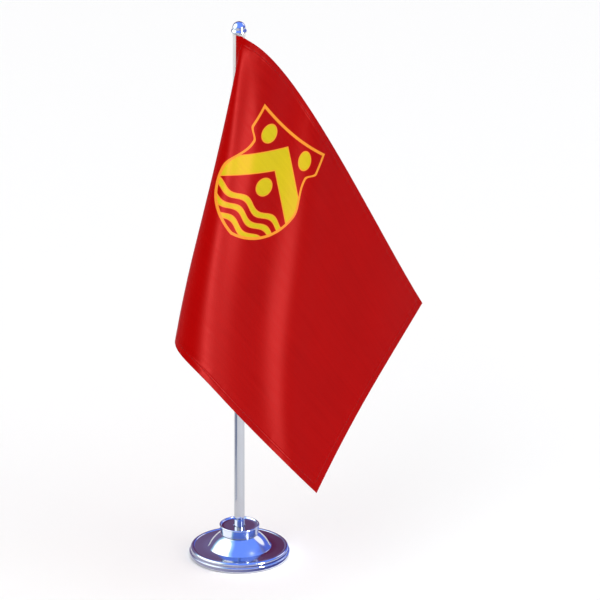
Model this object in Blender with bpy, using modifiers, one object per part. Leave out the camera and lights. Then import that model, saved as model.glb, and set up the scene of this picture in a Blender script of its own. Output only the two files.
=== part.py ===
"""Desk flag stand: a weighted chrome foot, a chrome pole with a domed cap,
and a satin flag that hangs in one big fold from a tape sleeve round the pole.

Metres, +Z up. The origin is the middle of the foot pad's underside and the
pole stands on the Z axis. The flag flies towards +X and is seen from -Y.
"""
import math

import bpy
import numpy as np

MM = 0.001

# Clearances
GAP = 0.3 * MM                 # between pieces that touch or are clamped
RUNNING_GAP = 0.3 * MM         # between pieces that slide or turn on each other

# Foot
BASE_RADIUS = 31.5 * MM
LIP_HEIGHT = 3.2 * MM          # plain lower lip of the rim
BEAD_RADIUS = 1.5 * MM         # rolled bead above the lip
FLANGE_HEIGHT = 6.0 * MM       # top of the flat flange
DOME_RADIUS = 19.6 * MM        # where the dome meets the flange
DOME_BULGE = 20.0 * MM         # radius of the dome's outline
NECK_RADIUS = 11.7 * MM
NECK_HEIGHT = 14.6 * MM        # top of the shell, under the collar
SHELL_WALL = 0.8 * MM
PAD_THICKNESS = 1.4 * MM
PAD_INSET = 1.6 * MM           # from the lip's outside to the pad's edge
RIM_LIFT = 0.4 * MM            # the pad stands this much proud of the lip

# Collar on top of the foot
COLLAR_HEIGHT = 6.0 * MM
COLLAR_FLARE = 0.9 * MM        # how far the rim stands out past the neck
COLLAR_RIM = 1.1 * MM          # width of the rounded rim round the dish
DISH_DEPTH = 1.5 * MM

# Threaded socket and its fasteners
SOCKET_WALL = 1.3 * MM
SOCKET_FLOOR = 1.2 * MM
SOCKET_IN_COLLAR = 2.6 * MM
SOCKET_BOTTOM = 2.0 * MM
NUT_THICKNESS = 2.6 * MM
NUT_WIDTH_RATIO = 1.45         # across flats, as a share of the thread
WASHER_THICKNESS = 0.9 * MM
WASHER_RIM = 2.8 * MM          # washer's width from bore to edge

# Pole
POLE_RADIUS = 3.3 * MM
POLE_WALL = 0.5 * MM
POLE_TOP = 356.0 * MM
PLUG_LENGTH = 10.0 * MM

# Domed cap
CAP_WALL = 1.35 * MM
CAP_SKIRT = 2.5 * MM
CAP_TAPER = 0.75 * MM          # the skirt is this much wider at its foot
CAP_GRIP = 2.3 * MM            # how far the cap comes down over the pole
STEM_RADIUS = 1.2 * MM
STEM_LENGTH = 9.0 * MM
STEM_IN_CAP = 2.0 * MM

# Flag, as cut
FLAG_FLY = 240.0 * MM
FLAG_HOIST = 160.0 * MM
FLAG_THICKNESS = 0.6 * MM
SLEEVE_WALL = 0.3 * MM
FLAG_BELOW_CAP = 0.7 * MM
HOIST_BEARING = 245.7          # where the hoist is sewn on, round the pole

# How the flag hangs (degrees and metres)
BIAS_SHEAR = 2.1
FIRST_HEADING = 244.4          # the cloth leaves the pole this way
LAST_HEADING = 398.9           # and comes back across the front this way
FOLD_ANGLE = 30.9
FOLD_HALF_WIDTH = 6.0
FLY_TURN = 17.7                # slow turn of the front towards the fly
CORNER_SWING = 16.0            # how far the rays trail near the corner
SWING_REACH = 210.0 * MM       # where that trailing has died out
CORNER_LIFT = 58.0             # how much flatter the top edge starts
LIFT_REACH = 35.5 * MM
FAN_SPREAD = 62.0              # spread of the cloth right at the corner
FAN_REACH = 16.0 * MM
FULL_SWING_ANGLE = 39.5
WAVE_HEIGHT = 1.6 * MM
WAVE_LENGTH = 47.0 * MM
WAVE_CREST = 39.0 * MM         # where the first crest crosses, from the pole

ROUND_STEPS = 40
SMALL_STEPS = 28
FLAG_COLUMNS = 36
FLAG_ROWS = 22
RAY_STEPS = 24
PATH_STEPS = 260

# Places that follow from the sizes
socket_bore = POLE_RADIUS + RUNNING_GAP
socket_radius = socket_bore + SOCKET_WALL
socket_hole = socket_radius + GAP
socket_top = NECK_HEIGHT + GAP + SOCKET_IN_COLLAR
collar_bottom = NECK_HEIGHT + GAP
collar_top = collar_bottom + COLLAR_HEIGHT
pad_radius = BASE_RADIUS - PAD_INSET
ballast_bottom = PAD_THICKNESS + GAP
ballast_radius = pad_radius - SHELL_WALL
flange_radius = BASE_RADIUS - 2.2 * BEAD_RADIUS
ballast_top = FLANGE_HEIGHT - SHELL_WALL - GAP
nut_top = SOCKET_BOTTOM + NUT_THICKNESS
washer_bottom = nut_top + GAP
recess_top = washer_bottom + WASHER_THICKNESS + GAP
washer_radius = socket_hole + WASHER_RIM
nut_corner = NUT_WIDTH_RATIO * socket_radius / math.cos(math.radians(30.0))
recess_radius = max(washer_radius, nut_corner) + GAP
pole_bottom = SOCKET_BOTTOM + SOCKET_FLOOR + GAP
plug_radius = POLE_RADIUS - POLE_WALL - GAP
cap_bore = POLE_RADIUS + RUNNING_GAP
cap_radius = cap_bore + CAP_WALL
cap_bottom = POLE_TOP - CAP_GRIP
flag_top = cap_bottom - FLAG_BELOW_CAP
sleeve_bore = POLE_RADIUS + RUNNING_GAP
sleeve_radius = sleeve_bore + SLEEVE_WALL
hoist_reach = sleeve_radius + GAP + 0.5 * FLAG_THICKNESS


def clear_scene():
    for item in list(bpy.data.objects):
        bpy.data.objects.remove(item, do_unlink=True)


def new_collection(name):
    collection = bpy.data.collections.new(name)
    bpy.context.scene.collection.children.link(collection)
    return collection


def finish(name, colour, metallic, roughness):
    """A Principled material."""
    made = bpy.data.materials.new(name)
    made.use_nodes = True
    shader = made.node_tree.nodes["Principled BSDF"]
    shader.inputs["Base Color"].default_value = (*colour, 1.0)
    shader.inputs["Metallic"].default_value = metallic
    shader.inputs["Roughness"].default_value = roughness
    return made


def arc(centre, radius, start, end, steps):
    """Points on an arc in the (radius, height) plane, from start to end in degrees."""
    points = []
    for step in range(steps + 1):
        angle = math.radians(start + (end - start) * step / steps)
        points.append((centre[0] + radius * math.cos(angle), centre[1] + radius * math.sin(angle)))
    return points


def add_object(name, mesh, made, parent, height):
    item = bpy.data.objects.new(name, mesh)
    item.data.materials.append(made)
    item.location = (0.0, 0.0, height)
    item.parent = parent
    parts.objects.link(item)
    return item


def turned(name, outline, made, closed, parent=None, height=0.0, steps=ROUND_STEPS):
    """A turned piece. The outline runs down its outer side; a closed one comes back up its bore."""
    mesh = bpy.data.meshes.new(name)
    points = [(radius, 0.0, z) for radius, z in outline]
    edges = [(index, index + 1) for index in range(len(points) - 1)]
    if closed:
        edges.append((len(points) - 1, 0))
    mesh.from_pydata(points, edges, [])
    item = add_object(name, mesh, made, parent, height)
    screw = item.modifiers.new("Turn", "SCREW")
    screw.axis = "Z"
    screw.angle = 2.0 * math.pi
    screw.steps = steps
    screw.render_steps = steps
    screw.use_merge_vertices = True
    screw.merge_threshold = 0.00001
    screw.use_smooth_shade = True
    return item


def seat(name, height, parent=None):
    """An empty on the pole's axis, which a moving group hangs on."""
    item = bpy.data.objects.new(name, None)
    item.location = (0.0, 0.0, height)
    item.parent = parent
    parts.objects.link(item)
    return item


# Foot ----------------------------------------------------------------------

def dome_outline():
    """The convex stretch from the neck down to the flange, an arc of DOME_BULGE."""
    top = (NECK_RADIUS, NECK_HEIGHT)
    bottom = (DOME_RADIUS, FLANGE_HEIGHT)
    across = bottom[0] - top[0]
    down = top[1] - bottom[1]
    chord = math.hypot(across, down)
    set_back = math.sqrt(DOME_BULGE ** 2 - 0.25 * chord ** 2)
    middle = (0.5 * (top[0] + bottom[0]), 0.5 * (top[1] + bottom[1]))
    centre = (middle[0] - set_back * down / chord, middle[1] - set_back * across / chord)
    start = math.degrees(math.atan2(top[1] - centre[1], top[0] - centre[0]))
    end = math.degrees(math.atan2(bottom[1] - centre[1], bottom[0] - centre[0]))
    return arc(centre, DOME_BULGE, start, end, 7)


def base_shell():
    """Pressed steel skin: neck, dome, flat flange, rolled bead and plain lip."""
    bead_centre = (BASE_RADIUS - 0.7 * MM - BEAD_RADIUS, FLANGE_HEIGHT + 0.6 * MM - BEAD_RADIUS)
    outline = [(socket_hole, NECK_HEIGHT)]
    outline += dome_outline()
    outline += [(flange_radius - 0.6 * MM, FLANGE_HEIGHT)]
    outline += arc(bead_centre, BEAD_RADIUS, 115.0, 0.0, 6)
    outline += [(BASE_RADIUS - 0.7 * MM, LIP_HEIGHT + 0.4 * MM)]
    outline += [(BASE_RADIUS, LIP_HEIGHT - 0.3 * MM)]
    outline += [(BASE_RADIUS, RIM_LIFT)]
    shell = turned("base_shell", outline, chrome, closed=False)
    wall = shell.modifiers.new("Wall", "SOLIDIFY")
    wall.thickness = SHELL_WALL
    wall.offset = -1.0
    wall.use_even_offset = True


def collar_cup():
    """Turned collar: flared side, rounded rim, shallow dish, bore for the pole, counterbore below."""
    rim_radius = NECK_RADIUS + COLLAR_FLARE
    half_rim = 0.5 * COLLAR_RIM
    rim_centre = (rim_radius - half_rim, collar_top - half_rim)
    waist = NECK_RADIUS - 0.3 * MM
    dish_edge = rim_radius - COLLAR_RIM
    outline = arc(rim_centre, half_rim, 150.0, -20.0, 6)
    outline += [(waist + 0.3 * COLLAR_FLARE, collar_bottom + 0.45 * COLLAR_HEIGHT)]
    outline += [(waist, collar_bottom + 0.15 * COLLAR_HEIGHT)]
    outline += [(waist, collar_bottom)]
    outline += [(socket_hole, collar_bottom)]
    outline += [(socket_hole, socket_top + GAP)]
    outline += [(socket_bore, socket_top + GAP)]
    outline += [(socket_bore, collar_top - DISH_DEPTH)]
    for share in (0.35, 0.65, 0.88):
        radius = socket_bore + share * (dish_edge - socket_bore)
        outline.append((radius, collar_top - DISH_DEPTH + share ** 3 * (DISH_DEPTH - half_rim)))
    turned("collar_cup", outline, chrome, closed=True)


def threaded_socket():
    """Hollow screw with a closed foot: it takes the pole and clamps the foot together."""
    floor = SOCKET_BOTTOM + SOCKET_FLOOR
    outline = [(socket_radius, socket_top), (socket_radius, SOCKET_BOTTOM), (0.0, SOCKET_BOTTOM)]
    outline += [(0.0, floor), (socket_bore, floor), (socket_bore, socket_top)]
    outline += outline[:1]
    turned("threaded_socket", outline, steel, closed=False, steps=SMALL_STEPS)


def ballast_disc():
    """Cast weight: a plate under the flange and a boss up to the neck, recessed below for the nut."""
    boss_radius = NECK_RADIUS - SHELL_WALL - 1.2 * MM
    shoulder = (DOME_RADIUS - SHELL_WALL - 2.2 * MM, ballast_top)
    boss_top = NECK_HEIGHT - SHELL_WALL - GAP
    outline = [
        (boss_radius, boss_top),
        (boss_radius + 0.45 * (shoulder[0] - boss_radius), ballast_top + 0.5 * (boss_top - ballast_top)),
        shoulder,
        (ballast_radius - 3.0 * MM, ballast_top),
        (ballast_radius - 1.0 * MM, ballast_bottom + 1.8 * MM),
        (ballast_radius - 1.0 * MM, ballast_bottom),
        (recess_radius, ballast_bottom),
        (recess_radius, recess_top),
        (socket_hole, recess_top),
        (socket_hole, boss_top),
    ]
    turned("ballast_disc", outline, iron, closed=True)


def ring(name, bore, radius, bottom, thickness, made):
    """A flat ring."""
    outline = [(radius, thickness), (radius, 0.0), (bore, 0.0), (bore, thickness)]
    turned(name, outline, made, closed=True, height=bottom, steps=SMALL_STEPS)


def cylinder(name, radius, bottom, height, sides):
    """A plain upright cylinder from the primitive."""
    bpy.ops.mesh.primitive_cylinder_add(
        vertices=sides, radius=radius, depth=height, location=(0.0, 0.0, bottom + 0.5 * height))
    item = bpy.context.object
    item.name = name
    for collection in list(item.users_collection):
        collection.objects.unlink(item)
    return item


def hex_nut():
    """Six-sided nut under the washer, bored by a cutter."""
    nut = cylinder("hex_nut", nut_corner, SOCKET_BOTTOM, NUT_THICKNESS, 6)
    nut.data.materials.append(steel)
    parts.objects.link(nut)
    past = 1.0 * MM
    bore = cylinder("nut_bore", socket_hole, SOCKET_BOTTOM - past, NUT_THICKNESS + 2.0 * past, SMALL_STEPS)
    bore.hide_render = True
    bore.display_type = "WIRE"
    cutters.objects.link(bore)
    cut = nut.modifiers.new("Bore", "BOOLEAN")
    cut.object = bore
    cut.operation = "DIFFERENCE"
    cut.solver = "EXACT"


def foot_pad():
    """Soft disc glued under the weight, which the stand rests on."""
    outline = [(0.0, PAD_THICKNESS), (pad_radius, PAD_THICKNESS), (pad_radius, 0.0), (0.0, 0.0)]
    turned("foot_pad", outline, felt, closed=False)


# Pole and cap --------------------------------------------------------------

def pole():
    """Drawn tube with a plug in each end; the upper plug takes the cap's stem."""
    holder = seat("pole_seat", pole_bottom)
    length = POLE_TOP - pole_bottom
    inner = POLE_RADIUS - POLE_WALL
    chamfer = 0.3 * MM
    outline = [
        (POLE_RADIUS - chamfer, length),
        (POLE_RADIUS, length - chamfer),
        (POLE_RADIUS, chamfer),
        (POLE_RADIUS - chamfer, 0.0),
        (inner, 0.0),
        (inner, length),
    ]
    turned("pole_tube", outline, chrome, closed=True, parent=holder, steps=SMALL_STEPS)
    solid = [(0.0, PLUG_LENGTH), (plug_radius, PLUG_LENGTH), (plug_radius, 0.0), (0.0, 0.0)]
    turned("pole_foot_plug", solid, steel, closed=False, parent=holder, steps=SMALL_STEPS)
    bore = STEM_RADIUS + RUNNING_GAP
    tapped = [(plug_radius, PLUG_LENGTH), (plug_radius, 0.0), (bore, 0.0), (bore, PLUG_LENGTH)]
    turned("pole_top_plug", tapped, brass, closed=True, parent=holder,
           height=length - PLUG_LENGTH, steps=SMALL_STEPS)
    return holder


def cap(holder):
    """Domed cap with a slightly flared skirt, and the stem pressed into its roof."""
    group = seat("cap_seat", POLE_TOP - pole_bottom, holder)
    foot = -CAP_GRIP
    shoulder = foot + CAP_SKIRT
    dome = cap_radius - CAP_TAPER
    roof = GAP
    stem_hole = STEM_RADIUS + GAP
    outline = arc((0.0, shoulder), dome, 90.0, 0.0, 8)
    outline[0] = (0.0, shoulder + dome)
    outline += [(cap_radius - 0.35 * CAP_TAPER, foot + 0.4 * CAP_SKIRT)]
    outline += [(cap_radius, foot + 0.3 * MM), (cap_radius - 0.3 * MM, foot)]
    outline += [(cap_bore, foot), (cap_bore, roof), (stem_hole, roof)]
    outline += [(stem_hole, roof + STEM_IN_CAP), (0.0, roof + STEM_IN_CAP)]
    turned("finial_cap", outline, chrome, closed=False, parent=group, steps=SMALL_STEPS)
    top = roof + STEM_IN_CAP - GAP
    stem = [(0.0, top), (STEM_RADIUS, top), (STEM_RADIUS, top - STEM_LENGTH), (0.0, top - STEM_LENGTH)]
    turned("finial_stem", stem, steel, closed=False, parent=group, steps=16)


# Flag ----------------------------------------------------------------------

def ease(value):
    """Smooth step from 0 to 1."""
    held = np.clip(value, 0.0, 1.0)
    return held * held * (3.0 - 2.0 * held)


def sweep_path():
    """Directions that the cloth's rays take from the upper hoist corner.

    A point walks over the unit sphere from straight down, at unit speed. Its
    heading starts at FIRST_HEADING, turns to LAST_HEADING round FOLD_ANGLE and
    goes on turning by FLY_TURN. Equal angles in the cloth are then equal angles
    in space, so the cone keeps the cloth's own size.
    """
    walked = np.linspace(0.0, math.radians(130.0), PATH_STEPS)
    step = walked[1] - walked[0]
    fold = math.radians(FOLD_ANGLE)
    half = math.radians(FOLD_HALF_WIDTH)
    heading = math.radians(FIRST_HEADING)
    heading = heading + math.radians(LAST_HEADING - FIRST_HEADING) * ease((walked - fold + half) / (2.0 * half))
    heading = heading + math.radians(FLY_TURN) * ease((walked - fold) / (math.radians(90.0) - fold))
    points = np.zeros((PATH_STEPS, 3))
    points[0] = (0.0, 0.0, -1.0)
    for index in range(1, PATH_STEPS):
        here = points[index - 1]
        way = np.array([math.cos(heading[index]), math.sin(heading[index]), 0.0])
        way -= here * way.dot(here)
        there = here + step * way / np.linalg.norm(way)
        points[index] = there / np.linalg.norm(there)
    return walked, points


def draped(along, down):
    """Where a point of the flat flag hangs, from the upper hoist corner.

    The flat flag, sheared by BIAS_SHEAR, is read in polar form about that
    corner: a ray's angle from the hoist and a distance along it. The hung point
    is the distance times the mean direction of its ray.
    """
    shear = math.radians(BIAS_SHEAR)
    flat_x = along * math.cos(shear)
    flat_y = down + along * math.sin(shear)
    distance = np.hypot(flat_x, flat_y)
    angle = np.arctan2(flat_x, flat_y)
    share = (np.arange(RAY_STEPS) + 0.5) / RAY_STEPS
    reach = distance[..., None] * share
    ray = angle[..., None] + 0.0 * reach
    lift = math.radians(CORNER_LIFT) * np.exp(-reach / LIFT_REACH) * ease(ray / math.radians(90.0))
    trail = math.radians(CORNER_SWING) * (1.0 - reach / SWING_REACH) - lift
    place = ray - trail * ease(ray / math.radians(FULL_SWING_ANGLE))
    walked, points = sweep_path()
    hung = np.stack([np.interp(place, walked, points[:, axis]) for axis in range(3)], axis=-1)
    spread = ray * FAN_SPREAD / 90.0
    fan = np.stack([np.sin(spread), -0.25 * np.sin(spread), -np.cos(spread)], axis=-1)
    fanned = ease(reach / FAN_REACH)[..., None]
    way = fan * (1.0 - fanned) + hung * fanned
    way /= np.linalg.norm(way, axis=-1, keepdims=True)
    return distance[..., None] * way.mean(axis=-2)


def waved(points, along, down):
    """Shallow upright waves in the front of the flag, which die out towards the fold."""
    slope = math.radians(8.0)
    across = points[..., 0] * math.cos(slope) - points[..., 2] * math.sin(slope) * 0.4
    angle = np.arctan2(along, down + 1e-9)
    front = ease((angle - math.radians(42.0)) / math.radians(14.0))
    grown = ease(np.hypot(along, down) / (90.0 * MM))
    wave = WAVE_HEIGHT * front * grown * np.cos(2.0 * math.pi * (across - WAVE_CREST) / WAVE_LENGTH)
    towards_viewer = np.array([0.0, -0.92, 0.38])
    return points + wave[..., None] * towards_viewer


def flag(holder):
    """The sleeve round the pole and the cloth sewn to it."""
    group = seat("flag_seat", flag_top - pole_bottom, holder)
    outline = [(sleeve_radius, 0.0), (sleeve_radius, -FLAG_HOIST),
               (sleeve_bore, -FLAG_HOIST), (sleeve_bore, 0.0)]
    turned("hoist_sleeve", outline, tape, closed=True, parent=group, steps=SMALL_STEPS)

    bearing = math.radians(HOIST_BEARING)
    corner = np.array([hoist_reach * math.cos(bearing), hoist_reach * math.sin(bearing), 0.0])
    columns = np.linspace(0.0, 1.0, FLAG_COLUMNS + 1) ** 1.15
    rows = np.linspace(0.0, 1.0, FLAG_ROWS + 1)
    along, down = np.meshgrid(columns * FLAG_FLY, rows * FLAG_HOIST, indexing="ij")
    hung = waved(draped(along, down), along, down) + corner
    index = np.arange(hung.shape[0] * hung.shape[1]).reshape(hung.shape[:2])
    quads = np.stack([index[:-1, :-1], index[:-1, 1:], index[1:, 1:], index[1:, :-1]], axis=-1)
    mesh = bpy.data.meshes.new("flag_panel")
    mesh.from_pydata(hung.reshape(-1, 3).tolist(), [], quads.reshape(-1, 4).tolist())
    mesh.shade_smooth()
    panel = add_object("flag_panel", mesh, satin, group, 0.0)
    cloth = panel.modifiers.new("Cloth", "SOLIDIFY")
    cloth.thickness = FLAG_THICKNESS
    cloth.offset = 0.0
    cloth.use_even_offset = True


clear_scene()
parts = new_collection("desk_flag_stand")
cutters = new_collection("cutters")
chrome = finish("bright chrome plate", (0.80, 0.82, 0.90), 1.0, 0.08)
steel = finish("zinc plated steel", (0.62, 0.63, 0.65), 1.0, 0.35)
iron = finish("grey cast iron", (0.12, 0.12, 0.13), 0.8, 0.65)
brass = finish("turned brass", (0.78, 0.62, 0.30), 1.0, 0.30)
felt = finish("black felt", (0.03, 0.03, 0.03), 0.0, 0.95)
tape = finish("white cotton tape", (0.85, 0.85, 0.83), 0.0, 0.85)
satin = finish("red polyester satin", (0.48, 0.006, 0.005), 0.0, 0.40)

base_shell()
collar_cup()
threaded_socket()
ballast_disc()
ring("plain_washer", socket_hole, washer_radius, washer_bottom, WASHER_THICKNESS, steel)
hex_nut()
foot_pad()
pole_holder = pole()
cap(pole_holder)
flag(pole_holder)
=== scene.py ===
"""Looks of a desk flag stand: chrome foot, collar, pole and domed cap, and a
satin flag that hangs in one big fold from a tape sleeve round the pole.

Metres, +Z up, the pole on the Z axis, the flag flying towards +X.
"""

import functools
import math

import bpy
import numpy as np
from bpy.props import FloatProperty, FloatVectorProperty, IntProperty, PointerProperty
from bpy.types import Operator, Panel, PropertyGroup
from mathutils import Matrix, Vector


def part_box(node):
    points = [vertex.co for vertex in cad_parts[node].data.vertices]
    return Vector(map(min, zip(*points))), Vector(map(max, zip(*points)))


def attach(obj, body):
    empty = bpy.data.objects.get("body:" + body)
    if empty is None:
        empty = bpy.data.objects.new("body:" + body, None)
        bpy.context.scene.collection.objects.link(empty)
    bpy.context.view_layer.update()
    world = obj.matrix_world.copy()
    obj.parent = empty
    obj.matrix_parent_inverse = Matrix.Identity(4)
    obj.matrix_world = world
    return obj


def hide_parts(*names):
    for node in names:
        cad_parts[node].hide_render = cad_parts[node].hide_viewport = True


bl_info = {
    "name": "Desk Flag Stand",
    "version": (1, 0, 0),
    "blender": (4, 5, 0),
    "location": "3D Viewport > Sidebar > Flag Stand",
    "description": "Chrome skins, hanging satin, stitching and finishes for a desk flag stand",
    "category": "Add Mesh",
}

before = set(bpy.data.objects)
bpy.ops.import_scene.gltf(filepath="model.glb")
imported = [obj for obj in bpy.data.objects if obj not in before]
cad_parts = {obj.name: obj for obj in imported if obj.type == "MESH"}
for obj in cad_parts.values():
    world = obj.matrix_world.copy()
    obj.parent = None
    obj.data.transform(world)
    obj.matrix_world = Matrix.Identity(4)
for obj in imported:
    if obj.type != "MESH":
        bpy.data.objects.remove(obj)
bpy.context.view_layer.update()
MM = 0.001
TURN = 2.0 * math.pi
WAVE_RUN = 0.314   # run of one band of a wave texture at scale 1, in its own units


def linear(colour):
    """An sRGB hex colour as three linear values.

    The dark end divides by 12.92, the rest follows a 2.4 power.
    """
    shares = (int(colour[at:at + 2], 16) / 255.0 for at in (0, 2, 4))
    return tuple(s / 12.92 if s <= 0.04045 else ((s + 0.055) / 1.055) ** 2.4 for s in shares)


def size(name, description, default, **more):
    """A length that a user may change, in metres."""
    return FloatProperty(name=name, description=description, default=default, unit="LENGTH",
                         precision=5, min=0.0, **more)


def turn_of(name, description, degrees):
    """An angle that a user may change."""
    return FloatProperty(name=name, description=description, default=math.radians(degrees),
                         subtype="ANGLE", unit="ROTATION")


def tint(name, description, colour):
    """A colour that a user may change, given in sRGB hex."""
    return FloatVectorProperty(name=name, description=description, default=linear(colour),
                               subtype="COLOR", size=3, min=0.0, max=1.0)


# Sizes and colours ----------------------------------------------------------

class FootSizes(PropertyGroup):
    """The pressed foot and the collar on it."""
    radius: size("Radius", "Outside of the lip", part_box("base_shell")[1].x)
    lip_foot: size("Lip foot", "Height of the lip's lower edge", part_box("base_shell")[0].z)
    lip_height: size("Lip height", "Top of the plain lip", 3.2 * MM)
    bead: size("Bead radius", "Radius of the rolled bead", 1.5 * MM)
    bead_set_back: size("Bead set back", "How far the bead stands behind the lip", 0.7 * MM)
    bead_rise: size("Bead rise", "How far the bead stands above the flange", 0.55 * MM)
    flange: size("Flange height", "Height of the flange at the bead", 5.8 * MM)
    flange_rise: size("Flange rise", "How much higher the flange is at the dome", 0.4 * MM)
    dome: size("Dome radius", "Where the dome meets the flange", 19.9 * MM)
    bulge: size("Dome bulge", "Radius of the dome's outline", 27.0 * MM)
    neck: size("Neck radius", "Top of the dome", 11.7 * MM)
    neck_height: size("Neck height", "Top of the pressed shell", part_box("base_shell")[1].z)
    wall: size("Wall", "Thickness of the sheet", 0.7 * MM)
    hole: size("Hole", "Hole for the threaded socket", 5.2 * MM)
    rounding: size("Rounding", "Radius that the press leaves on its corners", 0.9 * MM)
    collar_foot: size("Collar foot", "Underside of the collar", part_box("collar_cup")[0].z)
    collar_top: size("Collar top", "Top of the collar's rim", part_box("collar_cup")[1].z)
    collar_radius: size("Collar radius", "Outside of the collar's rim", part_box("collar_cup")[1].x)
    collar_rim: size("Collar rim", "Width of the rounded rim", 1.1 * MM)
    dish: size("Dish depth", "Depth of the dish inside the rim", 1.1 * MM)
    bore: size("Collar bore", "Bore round the pole", 3.6 * MM)
    counterbore: size("Counterbore height", "Roof of the wider bore below", 17.8 * MM)


class PoleSizes(PropertyGroup):
    """The drawn pole and its domed cap."""
    radius: size("Radius", "Outside of the tube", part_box("pole_tube")[1].x)
    foot: size("Foot", "Lower end of the tube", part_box("pole_tube")[0].z)
    top: size("Top", "Upper end of the tube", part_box("pole_tube")[1].z)
    wall: size("Wall", "Thickness of the tube", 0.5 * MM)
    chamfer: size("Chamfer", "Rounded end of the tube", 0.3 * MM)
    cap_foot: size("Cap foot", "Lower edge of the cap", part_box("finial_cap")[0].z)
    cap_top: size("Cap top", "Top of the cap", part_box("finial_cap")[1].z)
    cap_radius: size("Cap radius", "Widest place of the skirt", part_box("finial_cap")[1].x)
    cap_taper: size("Cap taper", "How much wider the skirt is than the dome", 0.75 * MM)
    cap_bore: size("Cap bore", "Bore round the pole", 3.6 * MM)
    stem_hole: size("Stem hole", "Bore for the stem", 1.5 * MM)
    roof: size("Roof", "Underside of the cap's roof above the tube", 0.3 * MM)


class FlagSizes(PropertyGroup):
    """The flag as cut and sewn."""
    fly: size("Fly", "Length away from the pole", 240.0 * MM)
    hoist: size("Hoist", "Height along the pole", 160.0 * MM)
    top: size("Top", "Height of the upper hoist corner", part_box("hoist_sleeve")[1].z)
    reach: size("Hoist reach", "From the pole's axis to the hoist edge", 4.5 * MM)
    bearing: turn_of("Hoist bearing", "Where round the pole the hoist is sewn on", 245.7)
    cloth: size("Cloth", "Thickness of the satin, thicker than real to keep its sides apart", 0.28 * MM)
    hem: size("Hem width", "Width of the turned hem", 5.0 * MM)
    hem_extra: size("Hem extra", "Added thickness of the turned hem", 0.34 * MM)
    hem_line: size("Hem line", "From the edge to the row of stitches", 4.0 * MM)
    pucker: size("Pucker", "Height of the small waves that the stitches draw", 0.16 * MM)
    spacing: size("Spacing", "Grid spacing in the middle of the cloth", 1.12 * MM)
    stitch_pitch: size("Stitch pitch", "From one stitch to the next", 2.4 * MM)
    stitch: size("Stitch", "Length of one stitch", 1.8 * MM)
    thread: size("Thread", "Thickness of the sewing thread", 0.26 * MM)
    tape: size("Tape", "Thickness of the tape", 0.24 * MM)
    tape_radius: size("Tape radius", "Middle of the tape round the pole", 3.75 * MM)
    tape_tail: size("Tape tail", "How far the tape grips the flag", 6.5 * MM)
    tape_wrinkle: size("Tape wrinkle", "Height of the tape's wrinkles", 0.12 * MM)


class HangingShape(PropertyGroup):
    """How the flag hangs from its upper hoist corner."""
    shear: turn_of("Bias shear", "How far the cloth has given on the bias", 2.1)
    first: turn_of("First heading", "The cloth leaves the pole this way", 244.4)
    last: turn_of("Last heading", "The cloth comes back across the front this way", 398.9)
    fold: turn_of("Fold angle", "Ray of the cloth that lies in the big fold", 30.9)
    half_fold: turn_of("Fold half width", "Half of the fold's width in angle", 6.0)
    fly_turn: turn_of("Fly turn", "Slow turn of the front towards the fly", 17.7)
    swing: turn_of("Corner swing", "How far the rays trail near the corner", 16.0)
    swing_reach: size("Swing reach", "Where that trailing has died out", 210.0 * MM)
    lift: turn_of("Corner lift", "How much flatter the top edge starts", 58.0)
    lift_reach: size("Lift reach", "How fast that lift dies out", 35.5 * MM)
    fan: turn_of("Fan spread", "Spread of the cloth right at the corner", 62.0)
    fan_reach: size("Fan reach", "Where the fan has become the fold", 16.0 * MM)
    full_swing: turn_of("Full swing angle", "Ray that trails fully", 39.5)
    wave: size("Wave height", "Height of the upright waves", 2.6 * MM)
    wave_length: size("Wave length", "From crest to crest, lower down", 47.0 * MM)
    wave_crest: size("Wave crest", "Where the first crest crosses", 55.0 * MM)
    pull: size("Pull", "How far the lower part is drawn back under the hoist", 6.5 * MM)
    push: size("Push", "How far the top edge stays out", 6.0 * MM)
    wave_end: size("Wave end", "Where the waves have died out towards the fly", 66.0 * MM)


class FinishColours(PropertyGroup):
    """Colours of the finishes."""
    chrome: tint("Chrome plate", "Reflection colour of the bright plate", "C3C6CE")
    steel: tint("Zinc plate", "Zinc plated steel", "B9BBBC")
    iron: tint("Cast iron", "Raw casting under a thin black paint", "3A3A3C")
    brass: tint("Brass", "Turned brass", "D9B56A")
    pad: tint("Pad", "Foam rubber", "2B2B2D")
    tape: tint("Tape", "Bleached cotton tape", "E9E8E6")
    red: tint("Flag red", "Dyed satin", "A50303")
    yellow: tint("Badge yellow", "Printed yellow", "CDB91A")
    orange: tint("Badge line", "Printed outline", "EE9630")
    thread: tint("Red thread", "Sewing thread in the hems", "9E1512")
    paper: tint("Backdrop", "Matt white paper", "F8F8F8")


class StageSettings(PropertyGroup):
    """Camera and light."""
    bearing: turn_of("Bearing", "Camera's bearing round the stand", 0.0)
    elevation: turn_of("Elevation", "Camera above the horizon", 22.6)
    width: size("View width", "Width of the view at the pole", 375.0 * MM)
    aim: FloatVectorProperty(name="Aim", description="Point in the middle of the view",
                             default=(0.0380, 0.0, 0.1728), subtype="TRANSLATION", unit="LENGTH")
    lens: FloatProperty(name="Lens", description="Focal length in millimetres", default=1500.0, min=1.0)
    key: FloatProperty(name="Key light", description="Power of the front softbox", default=9.0,
                       unit="POWER", min=0.0)
    strip: FloatProperty(name="Strip light", description="Power of the side strip", default=3.0,
                         unit="POWER", min=0.0)
    gloss: FloatProperty(name="Satin strip", description="Power of the light that only shine sees",
                         default=170.0, unit="POWER", min=0.0)
    sky: FloatProperty(name="Surround", description="Strength of the white surround", default=0.98, min=0.0)


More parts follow.
